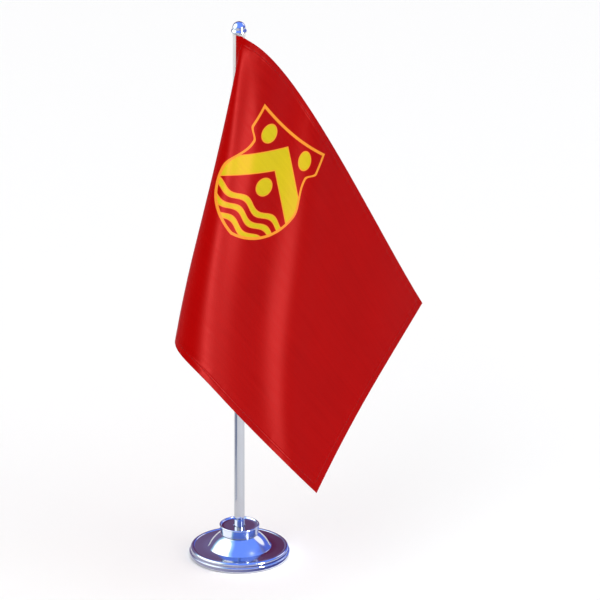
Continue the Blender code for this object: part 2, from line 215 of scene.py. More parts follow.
class FlagStandSettings(PropertyGroup):
    """Everything that the pieces are made from."""
    foot: PointerProperty(type=FootSizes)
    pole: PointerProperty(type=PoleSizes)
    flag: PointerProperty(type=FlagSizes)
    hanging: PointerProperty(type=HangingShape)
    colours: PointerProperty(type=FinishColours)
    stage: PointerProperty(type=StageSettings)
    round_steps: IntProperty(name="Round steps", description="Steps round a turned piece", default=144, min=8)


# Shapes ---------------------------------------------------------------------

def ease(value):
    """Smooth step: three times the square less twice the cube of the value held between 0 and 1."""
    held = np.clip(value, 0.0, 1.0)
    return held * held * (3.0 - 2.0 * held)


def arc(centre, radius, start, end, steps):
    """Points on a circle in the (radius, height) plane, from start to end in degrees."""
    angle = np.radians(np.linspace(start, end, steps + 1))
    return np.stack([centre[0] + radius * np.cos(angle), centre[1] + radius * np.sin(angle)], axis=-1)


def rounded(corners, steps=5):
    """A closed outline through corners (radius, height, rounding).

    Each corner gives way to an arc of its rounding that touches both of its
    sides: the centre lies on the bisector, rounding over the sine of half the
    corner away from it.
    """
    outline = []
    for index, (radius, height, rounding) in enumerate(corners):
        corner = np.array([radius, height])
        before = np.array(corners[index - 1][:2]) - corner
        after = np.array(corners[(index + 1) % len(corners)][:2]) - corner
        before /= np.linalg.norm(before)
        after /= np.linalg.norm(after)
        if rounding <= 0.0:
            outline.append(corner[None])
            continue
        half = 0.5 * math.acos(float(np.clip(before.dot(after), -1.0, 1.0)))
        bisector = (before + after) / np.linalg.norm(before + after)
        centre = corner + bisector * rounding / math.sin(half)
        start = corner + before * rounding / math.tan(half) - centre
        end = corner + after * rounding / math.tan(half) - centre
        share = np.linspace(0.0, 1.0, steps + 1)[:, None]
        ray = start * (1.0 - share) + end * share
        outline.append(centre + rounding * ray / np.linalg.norm(ray, axis=1, keepdims=True))
    return np.concatenate(outline)


def offset_outline(outline, distance):
    """The outline moved sideways, each point along the mean normal of its two sides."""
    step = np.diff(outline, axis=0)
    step /= np.linalg.norm(step, axis=1, keepdims=True)
    normal = np.stack([-step[:, 1], step[:, 0]], axis=-1)
    mean = np.concatenate([normal[:1], normal[:-1] + normal[1:], normal[-1:]])
    mean /= np.linalg.norm(mean, axis=1, keepdims=True)
    first = np.concatenate([normal[:1], normal])
    stretch = np.clip((mean * first).sum(axis=1, keepdims=True), 0.5, 1.0)
    return outline - mean * distance / stretch


def new_piece(name, points, faces, material, uv=None, sharp=35.0):
    """A mesh from point and face arrays, shaded smooth except over edges sharper than sharp degrees."""
    mesh = bpy.data.meshes.new(name)
    mesh.from_pydata(points.tolist(), [], faces)
    mesh.shade_smooth()
    mesh.set_sharp_from_angle(angle=math.radians(sharp))
    if uv is not None:
        corners = np.zeros(len(mesh.loops), dtype=np.int32)
        mesh.loops.foreach_get("vertex_index", corners)
        layer = mesh.uv_layers.new(name="cloth")
        layer.data.foreach_set("uv", uv[corners].astype(np.float32).ravel())
    mesh.materials.append(material)
    mesh.validate()
    made = bpy.data.objects.new(name, mesh)
    bpy.context.scene.collection.objects.link(made)
    return made


def quads_of(index, wrap=False):
    """Four-sided faces between neighbouring rows and columns of an index grid.

    wrap joins the last column to the first.
    """
    if wrap:
        index = np.concatenate([index, index[:, :1]], axis=1)
    grid = np.stack([index[:-1, :-1], index[1:, :-1], index[1:, 1:], index[:-1, 1:]], axis=-1)
    return grid.reshape(-1, 4)


def turned_piece(name, outline, material, steps, sharp=35.0):
    """A turned piece: each outline point (radius, height) goes round the Z axis.

    The outline runs down the outer side and back up the bore. One that starts
    and ends on the axis is closed there by fans; any other one is a ring.
    """
    angle = np.linspace(0.0, TURN, steps, endpoint=False)
    solid = outline[0, 0] < 1e-7
    body = outline[1:-1] if solid else outline
    points = np.stack([
        body[:, :1] * np.cos(angle),
        body[:, :1] * np.sin(angle),
        np.repeat(body[:, 1:], steps, axis=1),
    ], axis=-1).reshape(-1, 3)
    index = np.arange(len(points)).reshape(len(body), steps)
    if not solid:
        index = np.concatenate([index, index[:1]])
    faces = quads_of(index, wrap=True).tolist()
    if solid:
        ends = np.array([[0.0, 0.0, outline[0, 1]], [0.0, 0.0, outline[-1, 1]]])
        top, bottom = len(points), len(points) + 1
        points = np.concatenate([points, ends])
        ring, last = index[0], index[-1]
        faces += np.stack([np.full(steps, top), ring, np.roll(ring, -1)], axis=-1).tolist()
        faces += np.stack([np.full(steps, bottom), np.roll(last, -1), last], axis=-1).tolist()
    return new_piece(name, points, faces, material, sharp=sharp)


def shell_piece(name, front, back, uv, material):
    """A closed thin shell: two skins over one grid that share their border points."""
    rows, columns = front.shape[:2]
    near = np.arange(rows * columns).reshape(rows, columns)
    far = near.copy()
    far[1:-1, 1:-1] = rows * columns + np.arange((rows - 2) * (columns - 2)).reshape(rows - 2, columns - 2)
    points = np.concatenate([front.reshape(-1, 3), back[1:-1, 1:-1].reshape(-1, 3)])
    place = np.concatenate([uv.reshape(-1, 2), uv[1:-1, 1:-1].reshape(-1, 2)])
    faces = np.concatenate([quads_of(near), quads_of(far)[:, ::-1]]).tolist()
    return new_piece(name, points, faces, material, uv=place, sharp=80.0)


def unit(vectors):
    """Vectors divided by their own lengths."""
    return vectors / np.maximum(np.linalg.norm(vectors, axis=-1, keepdims=True), 1e-12)


# How the flag hangs ----------------------------------------------------------

def sweep_path(hang):
    """Directions that the cloth's rays take from the upper hoist corner.

    A point walks over the unit sphere from straight down, at unit speed, with
    a heading that turns from first to last round the fold and then slowly on.
    Equal angles in the cloth are then equal angles in space.
    """
    furthest, stops = math.radians(130.0), 520
    walked = np.linspace(0.0, furthest, stops)
    step = walked[1] - walked[0]
    heading = hang.first + (hang.last - hang.first) * ease(
        (walked - hang.fold + hang.half_fold) / (2.0 * hang.half_fold))
    heading = heading + hang.fly_turn * ease((walked - hang.fold) / (0.25 * TURN - hang.fold))
    points = np.zeros((len(walked), 3))
    points[0] = (0.0, 0.0, -1.0)
    for index in range(1, len(walked)):
        here = points[index - 1]
        way = np.array([math.cos(heading[index]), math.sin(heading[index]), 0.0])
        way -= here * way.dot(here)
        there = here + step * way / np.linalg.norm(way)
        points[index] = there / np.linalg.norm(there)
    return walked, points


def hung_at(hang, flag, along, down):
    """Where a point of the flat flag hangs, in metres.

    The flat flag, sheared a little on the bias, is read in polar form about
    the upper hoist corner. The hung point is the distance from that corner
    times the mean direction of its ray, plus a shallow upright wave in the
    front, which dies out towards the fold and towards the fly. Then its weight
    draws the lower part a few millimetres back under the hoist, most at two
    thirds of the drop, hollows the fly edge and leaves the top edge further out,
    which also stands up a little beside the corner.
    """
    flat_x = along * math.cos(hang.shear)
    flat_y = down + along * math.sin(hang.shear)
    distance = np.hypot(flat_x, flat_y)
    angle = np.arctan2(flat_x, flat_y)
    steps = 24
    share = (np.arange(steps) + 0.5) / steps
    reach = distance[..., None] * share
    ray = angle[..., None] + 0.0 * reach
    lift = hang.lift * np.exp(-reach / hang.lift_reach) * ease(ray / (0.25 * TURN))
    trail = hang.swing * (1.0 - reach / hang.swing_reach) - lift
    place = ray - trail * ease(ray / hang.full_swing)
    walked, path = sweep_path(hang)
    hung = np.stack([np.interp(place, walked, path[:, axis]) for axis in range(3)], axis=-1)
    spread = ray * hang.fan / (0.25 * TURN)
    fan = np.stack([np.sin(spread), -0.25 * np.sin(spread), -np.cos(spread)], axis=-1)
    fanned = ease(reach / hang.fan_reach)[..., None]
    points = distance[..., None] * unit(fan * (1.0 - fanned) + hung * fanned).mean(axis=-2)

    # rays further round from the hoist than this hang in the front, past the big fold
    edge_of_front = math.radians(42.0)
    wave_run = 200.0 * MM         # the waves reach their full length here
    slope = math.radians(8.0)
    across = points[..., 0] * math.cos(slope) - points[..., 2] * math.sin(slope) * 0.4
    open_angle = np.arctan2(along, down + 1e-9)
    front = ease((open_angle - edge_of_front) / math.radians(14.0))
    grown = ease(np.hypot(along, down) / (90.0 * MM))
    grown = grown * (0.15 + 0.85 * ease((hang.wave_end - across) / (24.0 * MM)))
    length = hang.wave_length * (0.68 + 0.42 * np.clip(distance / wave_run, 0.0, 1.0))
    wave = hang.wave * front * grown * np.cos(TURN * (across - hang.wave_crest) / length)
    points = points + wave[..., None] * np.array([0.0, -0.92, 0.38])

    # both run a little either way of the flag's diagonal
    full_drop = 286.0 * MM
    sag_run = 300.0 * MM
    drop = (points * np.array([0.0, -0.384, -0.923])).sum(axis=-1) / full_drop
    held = ease(open_angle / math.radians(36.0))
    pull = hang.pull * np.sin(0.5 * TURN * np.clip(drop, 0.0, 1.0) ** 1.7)
    near_top = ease((open_angle - edge_of_front) / math.radians(48.0))
    bow = np.sin(0.5 * TURN * np.clip(np.hypot(along, down) / sag_run, 0.0, 1.0))
    push = hang.push * near_top * bow ** 1.6
    push = push - 0.42 * hang.pull * ease(along / flag.fly) ** 3 * np.sin(0.5 * TURN * down / flag.hoist)
    points = points + ((push - pull) * held)[..., None] * np.array([1.0, 0.0, 0.0])
    gather = 1.7 * MM             # how far the top edge stands up beside the corner
    raised = gather * held * near_top * ease(distance / (5.0 * MM)) * np.exp(-distance / (22.0 * MM))
    points = points + raised[..., None] * np.array([0.0, 0.0, 1.0])
    corner = (flag.reach * math.cos(flag.bearing), flag.reach * math.sin(flag.bearing), flag.top)
    return points + np.array(corner)


def side_of(hang, flag, along, down):
    """Unit normal of the hung cloth, from the cross product of small steps along and down."""
    step = 0.2 * MM
    left = np.maximum(along - step, 0.0)
    up = np.maximum(down - step, 0.0)
    run = hung_at(hang, flag, along + step, down) - hung_at(hang, flag, left, down)
    fall = hung_at(hang, flag, along, down + step) - hung_at(hang, flag, along, up)
    return unit(np.cross(run, fall))


def graded(length, spacing):
    """Grid lines across the cloth: close together at the edge, the stitch row and the hem's inner edge."""
    edge = np.array([0.0, 0.04, 0.1, 0.18, 0.3, 0.6, 1.2, 2.0, 2.8, 3.4, 3.7, 4.0, 4.3, 4.6,
                     4.85, 5.1, 5.4, 6.0, 7.0]) * MM
    first = edge[-1] + spacing
    inner = length - 2.0 * first
    middle = np.linspace(first, first + inner, int(round(inner / spacing)) + 1)
    return np.concatenate([edge, middle, length - edge[::-1]])


def bump_row(distance, middle, width):
    """A bell-shaped rise round a line: e to the minus square of the distance over the width."""
    return np.exp(-((distance - middle) / width) ** 2)


def hem_thickness(flag, along, down):
    """Half thickness of the two skins.

    The plain cloth, plus a turned hem that fades within a third of a
    millimetre, less the groove that the stitch row presses in. It falls to
    nothing at the edge like a quarter of a circle.
    """
    sides = np.minimum(np.minimum(flag.fly - along, down), flag.hoist - down)
    edge = np.minimum(sides, along)
    hem = 1.0 - ease((sides - flag.hem + 0.15 * MM) / (0.3 * MM))
    groove = 0.10 * MM * bump_row(sides, flag.hem_line, 0.35 * MM) * (hem > 0.02)
    # seven tenths of the turned hem's extra stand on the front, three tenths on the back
    near = 0.5 * flag.cloth + 0.7 * flag.hem_extra * hem - groove
    far = 0.5 * flag.cloth + 0.3 * flag.hem_extra * hem - groove
    lip = 0.3 * MM
    roundness = np.sqrt(np.clip(1.0 - (1.0 - np.clip(edge / lip, 0.0, 1.0)) ** 2, 0.0, 1.0))
    return near * roundness, far * roundness


def pucker_height(flag, along, down):
    """Small waves across the hems: three sines of unlike length that add up to uneven gathers."""
    total = 0.0
    rows = ((down, along, 0.0), (flag.hoist - down, along, 2.0), (flag.fly - along, down, 4.0))
    for distance, run, phase in rows:
        waves = (np.sin(TURN * run / (7.3 * MM) + phase)
                 + 0.8 * np.sin(TURN * run / (11.9 * MM) + 1.7 * phase + 0.6)
                 + 0.6 * np.sin(TURN * run / (4.9 * MM) + 2.3 * phase + 1.9))
        total = total + waves * bump_row(distance, flag.hem_line, 3.2 * MM)
    return 0.42 * flag.pucker * total * ease(along / (8.0 * MM))


def flag_cloth(settings, material):
    """The satin panel with its turned hems, as two skins over one grid."""
    flag, hang = settings.flag, settings.hanging
    along, down = np.meshgrid(graded(flag.fly, flag.spacing), graded(flag.hoist, flag.spacing), indexing="ij")
    middle = hung_at(hang, flag, along, down)
    normal = side_of(hang, flag, along, down)
    middle = middle + normal * pucker_height(flag, along, down)[..., None]
    near, far = hem_thickness(flag, along, down)
    uv = np.stack([along / flag.fly, 1.0 - down / flag.hoist], axis=-1)
    return shell_piece("flag_cloth", middle + normal * near[..., None],
                       middle - normal * far[..., None], uv, material)


def stitches(name, places, runs, normals, length, thickness, material):
    """A row of stitches, each a short bar of thread with tapered, dipping ends.

    Every stitch is five rings of five points about its own run: the rings
    swell as the root of one less the square of their place along it, and the
    ends sink into the cloth.
    """
    places, runs, normals = (array.reshape(-1, 3) for array in (places, runs, normals))
    run = unit(runs)
    normal = unit(normals - run * (run * normals).sum(axis=-1, keepdims=True))
    across = np.cross(normal, run)
    stand = np.array([-1.0, -0.72, 0.0, 0.72, 1.0])
    swell = np.sqrt(np.clip(1.02 - stand ** 2, 0.02, 1.0))
    dip = -0.55 * stand ** 4
    rings, ring = len(stand), 5
    block_size = rings * ring
    turn = np.linspace(0.0, TURN, ring, endpoint=False)
    local = np.stack([
        np.repeat(0.5 * length * stand[:, None], ring, axis=1),
        0.5 * thickness * swell[:, None] * np.cos(turn),
        0.5 * thickness * (swell[:, None] * np.sin(turn) + dip[:, None] * 2.0),
    ], axis=-1).reshape(-1, 3)
    points = (places[:, None] + local[None, :, :1] * run[:, None]
              + local[None, :, 1:2] * across[:, None] + local[None, :, 2:] * normal[:, None])
    index = np.arange(block_size).reshape(rings, ring)
    sides = quads_of(index, wrap=True)[:, ::-1]
    block = np.arange(len(places))[:, None, None] * block_size
    faces = (sides[None] + block).reshape(-1, 4).tolist()
    faces += (index[0][None, None] + block).reshape(-1, ring).tolist()
    faces += (index[-1][::-1][None, None] + block).reshape(-1, ring).tolist()
    return new_piece(name, points.reshape(-1, 3), faces, material, sharp=80.0)


def hem_stitch_rows(settings):
    """Places, runs and normals of the stitches on both sides of the three hems."""
    flag, hang = settings.flag, settings.hanging
    line = flag.hem_line
    run_u = np.arange(9.0 * MM, flag.fly - line, flag.stitch_pitch)
    run_v = np.arange(line + 1.0 * MM, flag.hoist - line, flag.stitch_pitch)
    along = np.concatenate([run_u, run_u, np.full(len(run_v), flag.fly - line)])
    down = np.concatenate([np.full(len(run_u), line), np.full(len(run_u), flag.hoist - line), run_v])
    upright = np.concatenate([np.zeros(2 * len(run_u)), np.ones(len(run_v))])
    step = 0.4 * MM
    middle = hung_at(hang, flag, along, down)
    run = hung_at(hang, flag, along + step * (1.0 - upright), down + step * upright) - middle
    normal = side_of(hang, flag, along, down)
    middle = middle + normal * pucker_height(flag, along, down)[..., None]
    near, far = hem_thickness(flag, along, down)
    lift = 0.2 * flag.thread
    places = np.stack([middle + normal * (near + lift)[..., None], middle - normal * (far + lift)[..., None]])
    return places, np.stack([run, run]), np.stack([normal, -normal])


def tape_lines(settings, down):
    """Middle line of the sleeve tape at each height, as a grid of control points.

    Both tails lie together behind the flag and follow its own surface, the
    inner one half a cloth and half a tape away and the other one tape further.
    Between them the tape goes once round the pole, past the hoist edge.
    """
    flag, hang = settings.flag, settings.hanging
    inner = 0.5 * flag.cloth + 0.5 * flag.tape + 0.02 * MM
    tail = np.array([1.0, 0.8, 0.6, 0.4, 0.2]) * flag.tape_tail
    along, fall = np.meshgrid(tail, down, indexing="ij")
    middle = hung_at(hang, flag, along, fall)
    normal = side_of(hang, flag, along, fall)
    outer = middle + normal * (inner + flag.tape + 0.04 * MM)
    close = (middle + normal * inner)[::-1]
    turn = np.radians(np.linspace(44.0, 366.0, 18)) + flag.bearing
    height = np.repeat((flag.top - down)[None], len(turn), axis=0)
    crease = (np.sin(TURN * down / (17.0 * MM))[None] * np.sin(2.0 * turn)[:, None]
              + np.sin(TURN * down / (9.5 * MM) + 1.0)[None] * np.sin(3.0 * turn + 0.5)[:, None])
    free = (np.cos(turn - flag.bearing) < 0.4)[:, None]
    radius = flag.tape_radius + flag.tape_wrinkle * np.clip(crease, 0.0, 2.0) * free
    ring = np.stack([radius * np.cos(turn)[:, None], radius * np.sin(turn)[:, None], height], axis=-1)
    return np.concatenate([outer, ring, close])


def smoothed(control, share):
    """Points between the control rows on a Catmull-Rom curve, share steps for each span."""
    ends = np.concatenate([2.0 * control[:1] - control[1:2], control, 2.0 * control[-1:] - control[-2:-1]])
    before, start, end, after = ends[:-3], ends[1:-2], ends[2:-1], ends[3:]
    part = (np.arange(share) / share).reshape(1, -1, 1, 1)
    before, start, end, after = (array[:, None] for array in (before, start, end, after))
    curve = 0.5 * (2.0 * start + (end - before) * part
                   + (2.0 * before - 5.0 * start + 4.0 * end - after) * part ** 2
                   + (3.0 * start - before - 3.0 * end + after) * part ** 3)
    return np.concatenate([curve.reshape(-1, *control.shape[1:]), control[-1:]])


def sleeve_tape(settings, material):
    """Woven tape sewn round the pole: one strip whose two edges grip the flag."""
    flag = settings.flag
    down = graded(flag.hoist, 1.6 * MM)
    control = tape_lines(settings, down)
    middle = smoothed(control, 5)
    normal = unit(np.cross(np.gradient(middle, axis=0), np.gradient(middle, axis=1)))
    gauge = middle[:, 40]          # one line round the pole, clear of the hems, gives the tape's width
    walked = np.concatenate([[0.0], np.cumsum(np.linalg.norm(np.diff(gauge, axis=0), axis=-1))])
    edge = np.minimum(down, flag.hoist - down)
    selvedge = np.minimum(walked, walked[-1] - walked)
    turned_in = 0.10 * MM * (1.0 - ease((edge - 3.0 * MM) / (0.4 * MM)))
    thick = (0.5 * flag.tape + turned_in)[None] + 0.0 * walked[:, None]
    lip = 0.25 * MM
    for border in (edge[None] + 0.0 * walked[:, None], selvedge[:, None] + 0.0 * edge[None]):
        thick = thick * np.sqrt(np.clip(1.0 - (1.0 - np.clip(border / lip, 0.0, 1.0)) ** 2, 0.0, 1.0))
    uv = np.stack(np.broadcast_arrays(walked[:, None], (flag.hoist - down)[None]), axis=-1) / flag.hoist
    return shell_piece("sleeve_tape", middle + normal * thick[..., None], middle - normal * thick[..., None],
                       uv, material), walked[-1]


def tape_stitch_rows(settings):
    """Places, runs and normals of two upright stitch rows, on the tape behind and the flag before it."""
    flag, hang = settings.flag, settings.hanging
    fall = np.arange(2.5 * MM, flag.hoist - 2.0 * MM, flag.stitch_pitch)
    along, down = np.meshgrid(np.array([2.2 * MM, 5.2 * MM]), fall, indexing="ij")
    middle = hung_at(hang, flag, along, down)
    run = hung_at(hang, flag, along, down + 0.4 * MM) - middle
    normal = side_of(hang, flag, along, down)
    behind = 0.5 * flag.cloth + 2.0 * flag.tape + 0.06 * MM + 0.2 * flag.thread
    before = 0.5 * flag.cloth + 0.2 * flag.thread
    places = np.stack([middle + normal * behind, middle - normal * before])
    return places, np.stack([run, run]), np.stack([normal, -normal])


# Turned and pressed pieces ---------------------------------------------------

def foot_outline(foot):
    """Outside of the pressed foot from the hole to the lip, then the inside a wall away.

    The dome is an arc of the bulge radius through the neck and the flange; the
    bead is most of a circle that stands a little above the flange.
    """
    top = np.array([foot.neck, foot.neck_height])
    high = foot.flange + foot.flange_rise
    bottom = np.array([foot.dome, high])
    chord = bottom - top
    length = np.linalg.norm(chord)
    inward = np.array([chord[1], -chord[0]]) / length
    centre = 0.5 * (top + bottom) + inward * math.sqrt(foot.bulge ** 2 - 0.25 * length ** 2)
    start = math.degrees(math.atan2(*(top - centre)[::-1]))
    end = math.degrees(math.atan2(*(bottom - centre)[::-1]))
    dome = arc(centre, foot.bulge, start - 3.0, end + 2.5, 20)
    shoulder = rounded([(foot.hole, foot.neck_height, 0.0),
                        (foot.neck - 0.1 * MM, foot.neck_height, 0.5 * foot.rounding),
                        (*dome[1], 0.0)])[1:-1]
    slope_end = (foot.dome + 4.0 * MM, high - 0.4 * foot.flange_rise)
    toe = rounded([(*dome[-2], 0.0), (foot.dome + 0.1 * MM, high, 0.4 * foot.rounding),
                   (*slope_end, 0.0)])[1:-1]
    bead_centre = (foot.radius - foot.bead_set_back - foot.bead, foot.flange + foot.bead_rise - foot.bead)
    reach = math.degrees(math.asin((foot.flange - bead_centre[1]) / foot.bead))
    bead = arc(bead_centre, foot.bead, 180.0 - reach - 8.0, -12.0, 16)
    lip = rounded([(*bead[-1], 0.0),
                   (foot.radius - foot.bead_set_back - 0.05 * MM, foot.lip_height + 0.3 * MM, 0.12 * MM),
                   (foot.radius, foot.lip_height, 0.4 * MM), (foot.radius, foot.lip_foot, 0.0)], 4)[1:]
    outside = np.concatenate([[(foot.hole, foot.neck_height)], shoulder, dome[2:-2], toe, [slope_end],
                              bead, lip])
    inside = offset_outline(outside, foot.wall)
    inside[:, 0] = np.clip(inside[:, 0], foot.hole, foot.radius - foot.wall)
    inside[-1, 1] = foot.lip_foot
    return np.concatenate([outside, inside[::-1]])


def collar_outline(foot):
    """Nearly straight side under a rounded rim, a shallow dish, the pole's bore and a wider bore below."""
    half = 0.5 * foot.collar_rim
    rim = (foot.collar_radius - half, foot.collar_top - half)
    waist = foot.neck + 0.2 * MM
    height = foot.collar_top - foot.collar_foot
    dish_edge = foot.collar_radius - foot.collar_rim
    # squared steps lie closest together near the rim and stop three per cent short of it
    share = 1.0 - np.linspace(0.1732, 1.0, 20) ** 2
    dish = np.stack([foot.bore + 0.5 * MM + share * (dish_edge - foot.bore - 0.5 * MM),
                     foot.collar_top - foot.dish + share ** 14 * (foot.dish - half)], axis=-1)
    side = np.array([
        (waist + 0.34 * MM, foot.collar_foot + 0.50 * height),
        (waist + 0.10 * MM, foot.collar_foot + 0.30 * height),
        (waist, foot.collar_foot + 0.14 * height),
        (waist, foot.collar_foot + 0.25 * MM),
        (waist - 0.10 * MM, foot.collar_foot),
    ])
    bore = np.array([
        (foot.hole, foot.collar_foot),
        (foot.hole, foot.counterbore),
        (foot.bore, foot.counterbore),
        (foot.bore, foot.collar_top - foot.dish - 0.3 * MM),
        (foot.bore + 0.3 * MM, foot.collar_top - foot.dish),
    ])
    return np.concatenate([arc(rim, half, 165.0, -25.0, 14), side, bore, dish[::-1]])


def tube_outline(pole):
    """Drawn tube with rounded ends and a plain bore."""
    inner = pole.radius - pole.wall
    small = 0.15 * MM
    return rounded([(pole.radius, pole.top, pole.chamfer), (pole.radius, pole.foot, pole.chamfer),
                    (inner, pole.foot, small), (inner, pole.top, small)])


def cap_outline(pole):
    """Half-round dome over a skirt that widens to its foot, with the bores for pole and stem."""
    dome = pole.cap_radius - pole.cap_taper
    shoulder = pole.cap_top - dome
    roof = pole.top + pole.roof
    deep = roof + 2.0 * MM
    crown = arc((0.0, shoulder), dome, 90.0, 4.0, 22)
    skirt = shoulder - pole.cap_foot
    share = np.linspace(0.0, 1.0, 8)
    flare = np.stack([dome + pole.cap_taper * ease(share) ** 0.8, shoulder - 0.82 * skirt * share], axis=-1)
    foot = arc((pole.cap_radius - 0.25 * MM, pole.cap_foot + 0.25 * MM), 0.25 * MM, 0.0, -90.0, 5)
    bore = np.array([(pole.cap_bore + 0.15 * MM, pole.cap_foot), (pole.cap_bore, pole.cap_foot + 0.15 * MM),
                     (pole.cap_bore, roof), (pole.stem_hole, roof), (pole.stem_hole, deep), (0.0, deep)])
    return np.concatenate([[(0.0, pole.cap_top)], crown[1:], flare, foot, bore])


# Finishes ---------------------------------------------------------------------

def add_node(tree, kind, links=None, out=0, **settings):
    """Adds a shader node and gives one of its outputs, or nothing where it has none.

    settings are the node's own properties. links are its inputs by name or
    number: a socket is linked, anything else is set.
    """
    node = tree.nodes.new("ShaderNode" + kind)
    for key, value in settings.items():
        setattr(node, key, value)
    for key, value in (links or {}).items():
        if isinstance(value, bpy.types.NodeSocket):
            tree.links.new(value, node.inputs[key])
        else:
            node.inputs[key].default_value = value
    return node.outputs[out] if node.outputs else None


def blank_finish(name):
    """A material with an empty node tree, and add_node bound to that tree."""
    made = bpy.data.materials.new(name)
    made.use_nodes = True
    made.node_tree.nodes.clear()
    return made, functools.partial(add_node, made.node_tree)


def plated_metal(name, colour, roughness, haze, orange_peel, hairline):
    """Electroplated metal: mirror bright where polished, with a little haze, a faint
    ripple of the pressed sheet below it and hairlines from wiping."""
    made, add = blank_finish(name)
    place = add("TexCoord", out="Object")
    cloud = add("TexNoise", {"Vector": place, "Scale": 55.0, "Detail": 4.0, "Roughness": 0.6}, "Fac")
    # hairlines are really some 0.02 mm apart: drawn about 0.3 mm apart and 2 mm long so that they show
    squeezed = add("Mapping", {"Vector": place, "Scale": (1.0, 1.0, 9.0), "Rotation": (0.3, 0.2, 0.0)})
    scratch = add("TexNoise", {"Vector": squeezed, "Scale": 420.0, "Detail": 3.0}, "Fac")
    matt = add("MapRange", {"Value": cloud, "From Min": 0.35, "From Max": 0.75, "To Min": roughness,
                            "To Max": roughness + haze})
    matt = add("Math", {0: scratch, 1: hairline, 2: matt}, operation="MULTIPLY_ADD")
    # the sheet's ripple is 6 to 9 mm long
    ripple = add("TexNoise", {"Vector": place, "Scale": 150.0, "Detail": 1.0}, "Fac")
    bent = add("Bump", {"Strength": 0.5, "Distance": orange_peel, "Height": ripple})
    fine = add("Bump", {"Strength": 0.25, "Distance": 0.002 * MM, "Height": scratch, "Normal": bent})
    shade = add("MapRange", {"Value": cloud, "From Min": 0.3, "From Max": 0.7, "To Min": 0.94,
                             "To Max": 1.0})
    toned = add("Mix", {"Factor": 1.0, "A": (*colour, 1.0), "B": shade}, 2, data_type="RGBA",
                blend_type="MULTIPLY")
    shader = add("BsdfPrincipled", {"Base Color": toned, "Metallic": 1.0, "Roughness": matt,
                                    "Normal": fine})
    add("OutputMaterial", {"Surface": shader})
    return made


def painted_iron(name, colour):
    """Grey iron as cast under a thin black paint: grainy sand skin, pits, and bare grey on the high spots."""
    made, add = blank_finish(name)
    place = add("TexCoord", out="Object")
    sand = add("TexNoise", {"Vector": place, "Scale": 1600.0, "Detail": 6.0}, "Fac")
    pits = add("TexVoronoi", {"Vector": place, "Scale": 700.0}, "Distance")
    height = add("Math", {0: sand, 1: pits}, operation="ADD")
    rough = add("Bump", {"Strength": 0.7, "Distance": 0.08 * MM, "Height": height})
    bare = add("MapRange", {"Value": sand, "From Min": 0.58, "From Max": 0.7, "To Min": 0.0, "To Max": 0.6})
    colour_out = add("Mix", {"Factor": bare, "A": (*colour, 1.0), "B": (*linear("77787A"), 1.0)}, 2,
                     data_type="RGBA")
    metal = add("Math", {0: bare, 1: 1.2}, operation="MULTIPLY", use_clamp=True)
    shader = add("BsdfPrincipled", {"Base Color": colour_out, "Metallic": metal, "Roughness": 0.62,
                                    "Normal": rough})
    add("OutputMaterial", {"Surface": shader})
    return made


def turned_metal(name, colour, roughness, pitch):
    """Metal left from the lathe: fine rings round the axis, a tool's feed apart."""
    made, add = blank_finish(name)
    place = add("TexCoord", out="Object")
    # the tool leaves rings 0.05 mm apart: drawn coarser so that they show
    rings = add("TexWave", {"Vector": place, "Scale": WAVE_RUN / pitch, "Distortion": 0.8, "Detail": 2.0},
                "Fac", wave_type="BANDS", bands_direction="Z")
    stain = add("TexNoise", {"Vector": place, "Scale": 160.0, "Detail": 5.0}, "Fac")
    toned = add("Mix", {"Factor": stain, "A": (*colour, 1.0),
                        "B": (*(0.72 * part for part in colour), 1.0)}, 2, data_type="RGBA")
    matt = add("MapRange", {"Value": stain, "To Min": roughness, "To Max": roughness + 0.2})
    bent = add("Bump", {"Strength": 0.5, "Distance": 0.02 * MM, "Height": rings})
    shader = add("BsdfPrincipled", {"Base Color": toned, "Metallic": 1.0, "Roughness": matt,
                                    "Normal": bent})
    add("OutputMaterial", {"Surface": shader})
    return made


def foam_rubber(name, colour):
    """Soft closed-cell foam rubber: a matt black skin with the small dimples of its cells."""
    made, add = blank_finish(name)
    place = add("TexCoord", out="Object")
    # cells are really 0.2 mm wide: drawn 0.7 mm wide
    cells = add("TexVoronoi", {"Vector": place, "Scale": 1400.0}, "Distance")
    dust = add("TexNoise", {"Vector": place, "Scale": 260.0, "Detail": 3.0}, "Fac")
    toned = add("Mix", {"Factor": dust, "A": (*colour, 1.0), "B": (*(1.5 * part for part in colour), 1.0)},
                2, data_type="RGBA")
    bent = add("Bump", {"Strength": 0.6, "Distance": 0.1 * MM, "Height": cells})
    shader = add("BsdfPrincipled", {"Base Color": toned, "Roughness": 0.85, "Normal": bent})
    add("OutputMaterial", {"Surface": shader})
    return made


